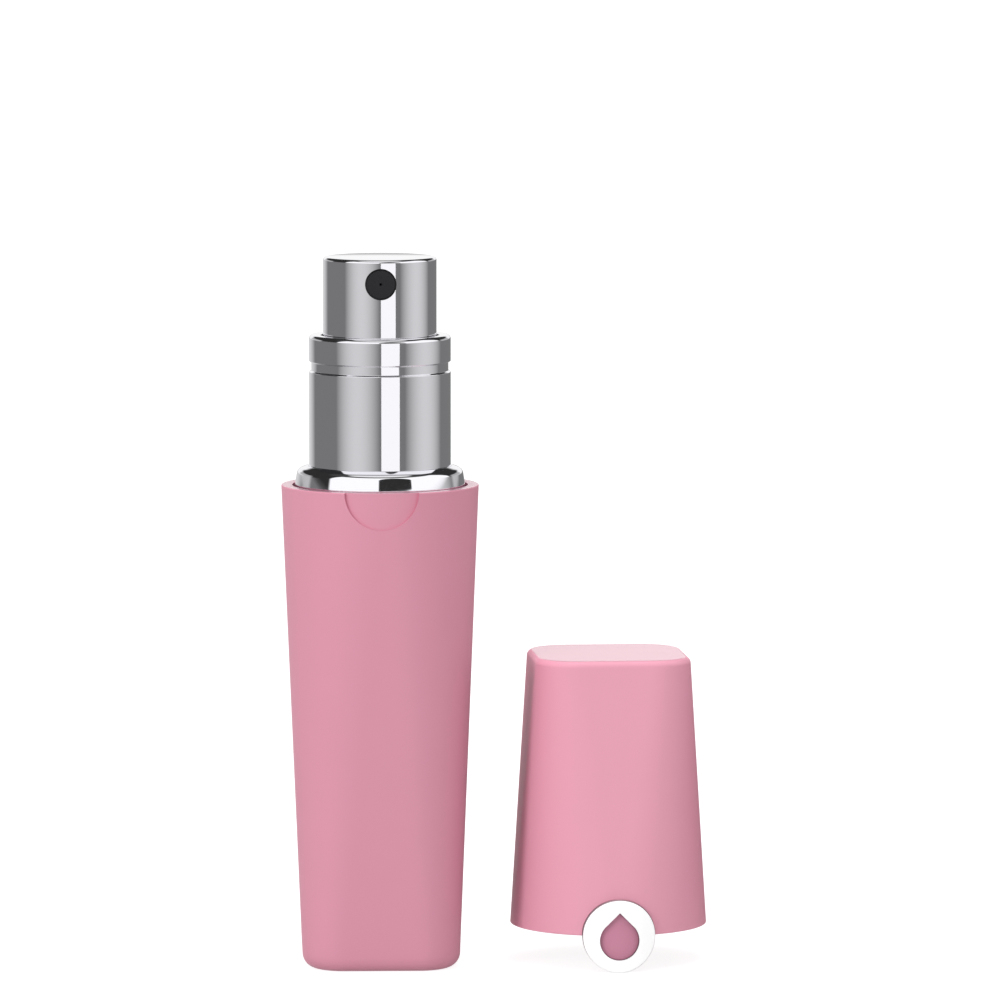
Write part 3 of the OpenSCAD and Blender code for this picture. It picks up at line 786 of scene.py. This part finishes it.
class ATOMISER_OT_button(Operator):
    """Build the spray button's chrome shell with its nozzle hole"""
    bl_idname = "atomiser.button"
    bl_label = "Spray Button"

    def execute(self, context):
        sizes = context.scene.atomiser_head
        outer = BUTTON_HIGH.x
        inner = outer - sizes.button_wall
        top, low = BUTTON_HIGH.z, BUTTON_LOW.z
        centre = 0.4 * MM
        corners = [
            (inner, low, 0.1 * MM), (outer, low, 0.12 * MM), (outer, top - 0.02 * MM, sizes.button_edge),
            (centre, top, 0.0), (centre, top - sizes.button_wall, 0.0),
            (inner, top - sizes.button_wall, 0.2 * MM)]
        outline = rounded_outline(corners, 10)
        steps = 320
        start = next(i for i, p in enumerate(outline) if abs(p.x - centre) < 1e-9 and abs(p.y - top) < 1e-9)
        order = outline[start + 1:] + outline[:start + 1]
        loops = [[(x, y, z) for x, y in circle(r, steps)] for r, z in order]
        points, faces = skin(loops, False)
        cap_with_point(points, faces, 0, steps, (0, 0, top - sizes.button_wall))
        cap_with_point(points, faces, (len(loops) - 1) * steps, steps, (0, 0, top))
        piece = make_object("button", points, faces)
        hole = (NOZZLE_HIGH.x - NOZZLE_LOW.x) / 2 + 0.05 * MM
        self.drill(piece, middle("nozzle_insert"), hole)
        sharpen(piece, 35)
        radial_normals(piece, Vector((0, 0, 0)), outer, 0.002 * MM)
        finish_piece(piece, "spray_head", ["actuator_shell"],
                     chrome_plate("button chrome", sizes.chrome_colour))
        return {"FINISHED"}

    def drill(self, piece, centre, radius):
        """Cuts the nozzle's hole through the front wall."""
        steps = 128
        ends = (-2 * BUTTON_HIGH.x, -0.5 * BUTTON_HIGH.x)
        loops = [[(x, y, centre.z + up) for x, up in circle(radius, steps)] for y in ends]
        points, faces = skin(loops, False)
        cap_with_point(points, faces, 0, steps, (0, ends[0], centre.z))
        cap_with_point(points, faces, steps, steps, (0, ends[1], centre.z))
        subtract(piece, make_object("nozzle_cutter", points, faces))


class ATOMISER_OT_nozzle(Operator):
    """Build the nozzle insert with its rim and orifice"""
    bl_idname = "atomiser.nozzle"
    bl_label = "Nozzle"

    def execute(self, context):
        radius = (NOZZLE_HIGH.x - NOZZLE_LOW.x) / 2
        face = -NOZZLE_LOW.y
        back = -NOZZLE_HIGH.y
        height = middle("nozzle_insert").z
        orifice = 0.1 * MM
        border = 0.13 * MM
        corners = [
            (orifice, back, 0.0), (radius, back, 0.1 * MM), (radius, face - 0.3 * MM, 0.0),
            (radius - border, face - 0.3 * MM, 0.0), (radius - border, face, 0.05 * MM),
            (0.2 * MM, face, 0.05 * MM), (orifice, face - 0.1 * MM, 0.03 * MM)]
        outline = rounded_outline(corners, 6)
        steps = 160
        loops = [[(x, -y, height + up) for x, up in circle(r, steps)] for r, y in outline]
        points, faces = skin(loops, True)
        piece = make_object("nozzle", points, faces)
        sharpen(piece, 50)
        black = moulded_plastic("nozzle black", (0.018, 0.018, 0.021), 0.4,
                                grain=0.001 * MM, drift=0.05, index=1.3)
        finish_piece(piece, "spray_head", ["nozzle_insert"], black)
        return {"FINISHED"}


# ---------------------------------------------------------------- operators: springs and inner parts

def coil(name, mean_radius, wire, turns, low, high):
    """Compression spring with closed ends, swept along its helix."""
    sides = 12
    per_turn = 48
    steps = int(turns * per_turn)
    closed = 0.8 / turns
    end_pitch = wire * 0.9
    rest = high - low - wire - 2 * end_pitch
    section = circle(wire / 2, sides)
    loops = []
    for i in range(steps + 1):
        share = i / steps
        open_share = (share - closed) / (1 - 2 * closed)
        lift = smooth_step(open_share) * 0.3 + 0.7 * min(max(open_share, 0), 1)
        tail = end_pitch * (min(share, closed) + max(share - 1 + closed, 0)) / closed
        centre_z = low + wire / 2 + tail + rest * lift
        angle = math.tau * turns * share
        loops.append([((mean_radius + out) * math.cos(angle), (mean_radius + out) * math.sin(angle),
                       centre_z + up) for out, up in section])
    points, faces = skin(loops, False)
    cap_with_point(points, faces, 0, sides, (mean_radius, 0, low + wire / 2))
    end = math.tau * turns
    last = (mean_radius * math.cos(end), mean_radius * math.sin(end), high - wire / 2)
    cap_with_point(points, faces, steps * sides, sides, last)
    return make_object(name, points, faces)


class ATOMISER_OT_springs(Operator):
    """Wind the pump's return spring and the fill valve's spring"""
    bl_idname = "atomiser.springs"
    bl_label = "Springs"

    def execute(self, context):
        steel = drawn_wire("spring steel", (0.60, 0.60, 0.62))
        for name, node, joint, wire, turns, fixed_low in (
                ("return_spring_coil", "return_spring", "pump_press", 0.45 * MM, 7, True),
                ("valve_spring_coil", "valve_spring", "fill_valve_open", 0.3 * MM, 6, False)):
            low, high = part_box(node)
            spring = coil(name, high.x - wire / 2, wire, turns, low.z, high.z)
            finish_piece(spring, "bottle", [node], steel)
            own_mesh(spring)
        return {"FINISHED"}


class ATOMISER_OT_inner_parts(Operator):
    """Give the tank, pump, valve and button core their finishes"""
    bl_idname = "atomiser.inner_parts"
    bl_label = "Inner Parts"

    def execute(self, context):
        white = moulded_plastic("pump white", (0.80, 0.80, 0.78), 0.42)
        black = moulded_plastic("moulded black", (0.035, 0.035, 0.04), 0.5)
        rubber = soft_rubber("seal rubber", (0.03, 0.03, 0.03))
        steel = drawn_wire("ball steel", (0.62, 0.62, 0.64))
        finishes = {
            clear_plastic("tank clear", (0.88, 0.91, 0.93), 0.45, 0.08): ["tank"],
            clear_plastic("tube milky", (0.90, 0.91, 0.90), 0.7, 0.3): ["dip_tube"],
            white: ["valve_poppet", "valve_retainer", "pump_housing", "pump_piston", "pump_stem",
                    "pump_gland"],
            black: ["valve_housing", "actuator_core"],
            rubber: ["valve_seal", "stem_seal"],
            soft_rubber("gasket white", (0.78, 0.78, 0.74)): ["neck_gasket"],
            steel: ["check_ball"],
            drawn_wire("ferrule metal", (0.72, 0.72, 0.74)): ["crimp_ferrule"],
        }
        for material, nodes in finishes.items():
            for node in nodes:
                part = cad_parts[node]
                for spot in part.material_slots:
                    spot.material = material
        return {"FINISHED"}


# ---------------------------------------------------------------- studio

class StudioNodes:
    """World nodes for a studio: grey levels by the direction round the set and above it, in degrees."""

    room = 0.2
    dark = 0.03
    side_panel_half = 38
    side_panel_light = 0.5
    strip_half = 15
    strip_light = 1.1

    def __init__(self, tree, camera_turn):
        self.tree = tree
        tree.nodes.clear()
        place = self.add("ShaderNodeTexCoord")
        split = self.add("ShaderNodeSeparateXYZ")
        self.join(place.outputs["Generated"], split.inputs[0])
        x, y, z = split.outputs
        turn = self.maths("SUBTRACT", self.maths("ARCTAN2", x, self.maths("MULTIPLY", y, -1.0)), camera_turn)
        self.around = self.maths("ADD", self.maths("DIVIDE", turn, math.tau), 0.5)
        self.up = self.maths("ADD", self.maths("DIVIDE", self.maths("ARCSINE", z), math.tau), 0.5)

    def add(self, kind, **values):
        node = self.tree.nodes.new(kind)
        for key, value in values.items():
            setattr(node, key, value)
        return node

    def join(self, source, target):
        self.tree.links.new(source, target)

    def maths(self, operation, first, second=0.0):
        node = self.add("ShaderNodeMath", operation=operation)
        for place, value in enumerate((first, second)):
            if isinstance(value, (int, float)):
                node.inputs[place].default_value = value
            else:
                self.join(value, node.inputs[place])
        return node.outputs[0]

    def ramp(self, source, stops):
        """Grey ramp from (degrees from -180 to 180, grey level)."""
        node = self.add("ShaderNodeValToRGB")
        points = node.color_ramp.elements
        while len(points) < len(stops):
            points.new(1.0)
        for point, (degrees, level) in zip(points, stops):
            point.position = (degrees + 180) / 360
            point.color = (level, level, level, 1)
        self.join(source, node.inputs["Fac"])
        return node.outputs["Color"]

    def grey(self, level):
        node = self.add("ShaderNodeValue")
        node.outputs[0].default_value = level
        return node.outputs[0]

    def blend(self, share, first, second):
        node = self.add("ShaderNodeMix", data_type="RGBA")
        self.join(share, node.inputs[0])
        self.join(first, node.inputs[6])
        self.join(second, node.inputs[7])
        return node.outputs[2]

    def background(self, level):
        node = self.add("ShaderNodeBackground")
        self.join(level, node.inputs["Color"])
        return node.outputs[0]

    def choose(self, share, first, second):
        node = self.add("ShaderNodeMixShader")
        self.join(share, node.inputs[0])
        self.join(first, node.inputs[1])
        self.join(second, node.inputs[2])
        return node.outputs[0]

    def offset(self, centre, half_width):
        """Distance round the set from a panel's middle: 0 there, 1 at its sides."""
        apart = self.maths("ABSOLUTE", self.maths("SUBTRACT", self.around, 0.5 + centre / 360))
        nearest = self.maths("MINIMUM", apart, self.maths("SUBTRACT", 1.0, apart))
        return self.maths("MULTIPLY", nearest, 360 / half_width)

    def soft_panel(self, centre, half_width, light):
        """Panel that is brightest in its middle and falls off as a parabola to its sides."""
        across = self.offset(centre, half_width)
        fall = self.maths("SUBTRACT", 1.0, self.maths("MULTIPLY", across, across))
        return self.maths("MULTIPLY", self.maths("MAXIMUM", fall, 0.0), light)

    def eye_level(self):
        """A soft panel on each side and one behind to the left, and a hard strip light near the camera."""
        left = self.soft_panel(-37, self.side_panel_half, self.side_panel_light)
        right = self.soft_panel(80, self.side_panel_half, self.side_panel_light)
        rear = self.soft_panel(-163, 32, self.side_panel_light)
        soft = self.maths("ADD", self.maths("ADD", left, right), rear)
        in_strip = self.maths("LESS_THAN", self.offset(18, self.strip_half), 1.0)
        strip = self.maths("MULTIPLY", in_strip, self.strip_light)
        return self.maths("MAXIMUM", self.maths("ADD", soft, self.room), strip)

    def upper(self):
        """One wide bright panel above eye level, with a dark rounded gap standing on its lower edge."""
        wide = self.ramp(self.around, [
            (-180, self.dark), (-75, self.dark), (-72, 1.15), (112, 1.15), (115, self.dark), (180, self.dark)])
        across = self.offset(22, 23)
        rise = self.maths("MULTIPLY", self.maths("SUBTRACT", self.up, 0.5 + 12 / 360), 360 / 33)
        below = self.maths("MULTIPLY", self.maths("LESS_THAN", rise, 0.0), 2.0)
        reach = self.maths("ADD", self.maths("MULTIPLY", across, across), self.maths("MULTIPLY", rise, rise))
        outside_gap = self.add("ShaderNodeMapRange")
        outside_gap.inputs["From Min"].default_value = 0.94
        outside_gap.inputs["From Max"].default_value = 1.06
        self.join(self.maths("ADD", reach, below), outside_gap.inputs["Value"])
        return self.blend(outside_gap.outputs["Result"], self.grey(self.dark), wide)

    def panels(self):
        """All that chrome mirrors, from eye level up to the ceiling."""
        to_upper = self.ramp(self.up, [(-180, 0), (7, 0), (9, 1), (180, 1)])
        light = self.blend(to_upper, self.eye_level(), self.upper())
        behind = self.ramp(self.around, [
            (-180, 1), (-155, 1), (-148, 0.45), (-115, 0.45), (-108, 0), (116, 0), (123, 0.45), (148, 0.45),
            (155, 1), (180, 1)])
        behind_rise = self.ramp(self.up, [(-180, 0), (1.5, 0), (3, 1), (16, 1), (20, 0), (180, 0)])
        light = self.blend(self.maths("MULTIPLY", behind, behind_rise), light, self.grey(1.0))
        to_gap = self.ramp(self.up, [(-180, 0), (50, 0), (53, 1), (180, 1)])
        light = self.blend(to_gap, light, self.grey(0.06))
        to_ceiling = self.ramp(self.up, [(-180, 0), (66, 0), (69, 1), (180, 1)])
        return self.blend(to_ceiling, light, self.grey(0.9))


# ---------------------------------------------------------------- operators: stage

class ATOMISER_OT_stage(Operator):
    """Set up the floor, the studio light and the camera"""
    bl_idname = "atomiser.stage"
    bl_label = "Stage"

    def execute(self, context):
        scene = context.scene
        sizes = scene.atomiser_stage
        scene.view_settings.view_transform = "Standard"
        self.build_floor()
        self.build_camera(scene, sizes)
        self.build_studio(scene, sizes)
        self.build_lights()
        return {"FINISHED"}

    def build_floor(self):
        half = 4.0
        corners = [(-half, -half, 0), (half, -half, 0), (half, half, 0), (-half, half, 0)]
        floor = make_object("floor", corners, [(0, 1, 2, 3)], smooth=False)
        paper = MaterialNodes("pale paper")
        fibre = paper.noise(300, detail=3)
        paper.vary_colour(fibre.outputs["Fac"], (0.36, 0.36, 0.36), 0.003)
        paper.set(Roughness=0.9)
        paper.shader.inputs["Specular IOR Level"].default_value = 0.0
        paper.shader.inputs["Emission Color"].default_value = (1, 1, 1, 1)
        seen = paper.add("ShaderNodeLightPath")
        paper.join(paper.spread(seen.outputs["Is Camera Ray"], 0.28, 0.85),
                   paper.shader.inputs["Emission Strength"])
        floor.data.materials.append(paper.material)
        floor.visible_glossy = False

    def build_camera(self, scene, sizes):
        turn, rise = sizes.camera_turn, sizes.camera_rise
        right = Vector((math.cos(turn), math.sin(turn), 0))
        back = Vector((math.sin(turn) * math.cos(rise), -math.cos(turn) * math.cos(rise), math.sin(rise)))
        aim = right * sizes.aim_side + Vector((0, 0, sizes.aim_height))
        data = bpy.data.cameras.new("camera")
        data.lens = sizes.lens
        data.clip_start = 0.01
        camera = bpy.data.objects.new("camera", data)
        camera.location = aim + back * sizes.camera_distance
        camera.rotation_euler = back.to_track_quat("Z", "Y").to_euler()
        scene.collection.objects.link(camera)
        scene.camera = camera

    def build_studio(self, scene, sizes):
        """World light: even for matt surfaces, and a studio of soft panels for what chrome mirrors."""
        world = bpy.data.worlds.new("studio")
        world.use_nodes = True
        scene.world = world
        nodes = StudioNodes(world.node_tree, sizes.camera_turn)
        mirrored = nodes.background(nodes.panels())
        wash = nodes.ramp(nodes.around, [
            (-180, 0.75), (-90, 0.75), (-30, 0.88), (30, 0.78), (90, 0.70), (180, 0.75)])
        even = nodes.background(wash)
        backdrop = nodes.background(nodes.grey(1.0))
        path = nodes.add("ShaderNodeLightPath")
        indoors = nodes.choose(path.outputs["Is Glossy Ray"], even, mirrored)
        seen = nodes.choose(path.outputs["Is Camera Ray"], indoors, backdrop)
        output = nodes.add("ShaderNodeOutputWorld")
        nodes.join(seen, output.inputs["Surface"])

    def build_lights(self):
        """Soft key from the front left and a top light, unseen in reflections, and flags beside the cap."""
        aim = Vector((12 * MM, 0, 35 * MM))
        for name, place, size, energy in (
                ("key", Vector((-0.62, -0.56, 0.40)), 0.35, 2.2),
                ("top", Vector((0.0, -0.05, 1.0)), 0.6, 4.0)):
            data = bpy.data.lights.new(name, "AREA")
            data.shape = "SQUARE"
            data.size = size
            data.energy = energy
            lamp = bpy.data.objects.new(name, data)
            lamp.location = place
            lamp.rotation_euler = (place - aim).to_track_quat("Z", "Y").to_euler()
            lamp.visible_glossy = False
            bpy.context.scene.collection.objects.link(lamp)
        cloth = MaterialNodes("grey cloth")
        weave = cloth.noise(2000)
        cloth.vary_colour(weave.outputs["Fac"], (0.5, 0.31, 0.38), 0.1)
        cloth.set(Roughness=1.0)
        low, high = CAP_LOW.z, CAP_HIGH.z
        top_half = bpy.context.scene.atomiser_shell.cap_width / 2
        flags = (("left_flag", -1, 1.7 * MM, -6.5 * MM, MM), ("right_flag", 1, 9 * MM, -6.5 * MM, 9 * MM))
        for name, side, gap, front, back in flags:
            foot = CAP_AXIS.x + side * (RIM_RADIUS + gap)
            head = CAP_AXIS.x + side * (top_half + gap)
            near, far = CAP_AXIS.y + front, CAP_AXIS.y + back
            corners = [(foot, near, low), (foot, far, low), (head, far, high), (head, near, high)]
            flag = make_object(name, corners, [(0, 1, 2, 3)], smooth=False)
            flag.data.materials.append(cloth.material)
            flag.visible_camera = False
            flag.visible_glossy = False


# ---------------------------------------------------------------- panel and registration

BUILD_ORDER = ("stage", "shell", "cap", "liner", "badge", "collar", "button", "nozzle", "springs",
               "inner_parts")


class ATOMISER_PT_panel(Panel):
    """Lists the atomiser's build steps"""
    bl_idname = "ATOMISER_PT_panel"
    bl_label = "Perfume Atomiser"
    bl_space_type = "VIEW_3D"
    bl_region_type = "UI"
    bl_category = "Atomiser"

    def draw(self, context):
        for step in BUILD_ORDER:
            self.layout.operator(f"atomiser.{step}")
        for group in ("atomiser_shell", "atomiser_head", "atomiser_badge", "atomiser_stage"):
            settings = getattr(context.scene, group)
            box = self.layout.box()
            for key in settings.__annotations__:
                box.prop(settings, key)


CLASSES = (
    AtomiserShellSettings, AtomiserHeadSettings, AtomiserBadgeSettings, AtomiserStageSettings,
    ATOMISER_OT_stage, ATOMISER_OT_shell, ATOMISER_OT_cap, ATOMISER_OT_liner, ATOMISER_OT_badge,
    ATOMISER_OT_collar, ATOMISER_OT_button, ATOMISER_OT_nozzle, ATOMISER_OT_springs, ATOMISER_OT_inner_parts,
    ATOMISER_PT_panel)
SETTINGS = {
    "atomiser_shell": AtomiserShellSettings,
    "atomiser_head": AtomiserHeadSettings,
    "atomiser_badge": AtomiserBadgeSettings,
    "atomiser_stage": AtomiserStageSettings,
}


def register():
    for item in CLASSES:
        bpy.utils.register_class(item)
    for name, kind in SETTINGS.items():
        setattr(bpy.types.Scene, name, PointerProperty(type=kind))


def unregister():
    for name in SETTINGS:
        delattr(bpy.types.Scene, name)
    for item in reversed(CLASSES):
        bpy.utils.unregister_class(item)


def main():
    register()
    for step in BUILD_ORDER:
        getattr(bpy.ops.atomiser, step)()


if __name__ == "__main__":
    main()
